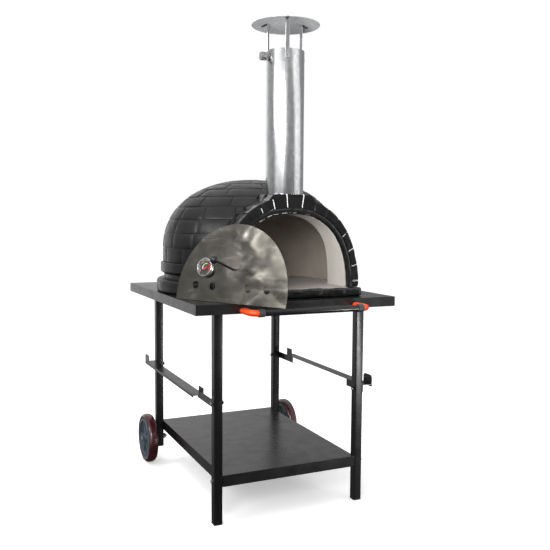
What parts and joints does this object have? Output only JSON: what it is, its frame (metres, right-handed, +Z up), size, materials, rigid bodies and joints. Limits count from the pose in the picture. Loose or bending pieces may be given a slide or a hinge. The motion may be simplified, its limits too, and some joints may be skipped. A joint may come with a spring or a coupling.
{
  "type": "wood fired pizza oven",
  "caption": "Domed brick-look wood fired oven with a flue and loose arched door, on a steel cart with a lower shelf, side rails, push bar and rear wheels.",
  "frame": {"origin": "on the floor, under the middle of the whole object's bounding box", "axes": "+Z up, -Y out of the oven's mouth, +X to the right seen by someone facing the mouth"},
  "size_m": [0.74, 1.0719, 1.712],
  "materials": {
    "black_steel": "satin black powder coat",
    "zinc": "bright zinc plating",
    "black_plastic": "matte",
    "grey_plastic": "matte",
    "orange_plastic": "gloss",
    "maroon_rubber": "glossy polyurethane",
    "hub_plastic": "satin",
    "black_glaze": "gloss black paint over cast refractory",
    "dome_paint": "satin black paint over cast render",
    "refractory": "matt cream refractory concrete",
    "insulation": "matt ceramic fibre",
    "galvanised": "galvanised, semi-gloss",
    "stainless": "cloudy mill-finish stainless",
    "dial_face": "matte printed",
    "needle_red": "matte",
    "glass": "clear"
  },
  "bodies": {
    "cart": {"tabletop": "black_steel", "lower_shelf": "black_steel", "push_bar": "black_steel", "leg_front_left": "black_steel", "leg_front_right": "black_steel", "leg_rear_left": "black_steel", "leg_rear_right": "black_steel", "side_rail_left": "black_steel", "side_rail_right": "black_steel", "shelf_bolt_front_left": "zinc", "shelf_bolt_front_right": "zinc", "shelf_bolt_rear_left": "zinc", "shelf_bolt_rear_right": "zinc", "rail_bolt_front_left": "zinc", "rail_bolt_front_right": "zinc", "rail_bolt_rear_left": "zinc", "rail_bolt_rear_right": "zinc", "axle_bolt_left": "zinc", "axle_bolt_right": "zinc", "axle_nut_left": "zinc", "axle_nut_right": "zinc", "damper_washer": "zinc", "foot_front_left": "black_plastic", "foot_front_right": "black_plastic", "push_bar_collar_left": "grey_plastic", "push_bar_collar_right": "grey_plastic", "push_bar_bracket_left": "orange_plastic", "push_bar_bracket_right": "orange_plastic", "oven_base": "dome_paint", "outer_dome": "dome_paint", "hearth_lip": "black_glaze", "front_arch": "black_glaze", "mouth_trim": "black_glaze", "hearth_tile_front": "refractory", "hearth_tile_left": "refractory", "hearth_tile_right": "refractory", "mouth_liner": "refractory", "inner_dome": "refractory", "floor_insulation": "insulation", "insulation_blanket": "insulation", "flue_pipe": "galvanised", "rain_cap": "galvanised", "cap_strip_1": "galvanised", "cap_strip_2": "galvanised", "cap_strip_3": "galvanised"},
    "wheel_left": {"wheel_tread_left": "maroon_rubber", "wheel_hub_left": "hub_plastic"},
    "wheel_right": {"wheel_tread_right": "maroon_rubber", "wheel_hub_right": "hub_plastic"},
    "door": {"door_panel": "stainless", "door_handle_rod": "black_steel", "door_knob": "black_plastic", "thermometer_case": "stainless", "thermometer_dial": "dial_face", "thermometer_glass": "glass"},
    "needle": {"thermometer_needle": "needle_red"},
    "damper": {"damper_rod": "zinc", "damper_plate": "galvanised", "damper_knob": "zinc"}
  },
  "joints": [
    {"name": "wheel_left_spin", "type": "hinge", "parent": "cart", "child": "wheel_left", "pos_m": [-0.3175, 0.436, 0.1], "axis": [1, 0, 0], "continuous": true},
    {"name": "wheel_right_spin", "type": "hinge", "parent": "cart", "child": "wheel_right", "pos_m": [0.3175, 0.436, 0.1], "axis": [1, 0, 0], "continuous": true},
    {"name": "door_lift", "type": "slide", "parent": "cart", "child": "door", "axis": [0, 0, 1], "range_m": [0, 0.36]},
    {"name": "needle_turn", "type": "hinge", "parent": "door", "child": "needle", "pos_m": [-0.29145, -0.23255, 0.85716], "axis": [0.8497, 0.4768, -0.225], "range_deg": [0, 240], "stiffness_Nm_per_rad": 0.003},
    {"name": "damper_turn", "type": "hinge", "parent": "cart", "child": "damper", "pos_m": [0, -0.21, 1.566], "axis": [1, 0, 0], "range_deg": [0, 90]}
  ]
}
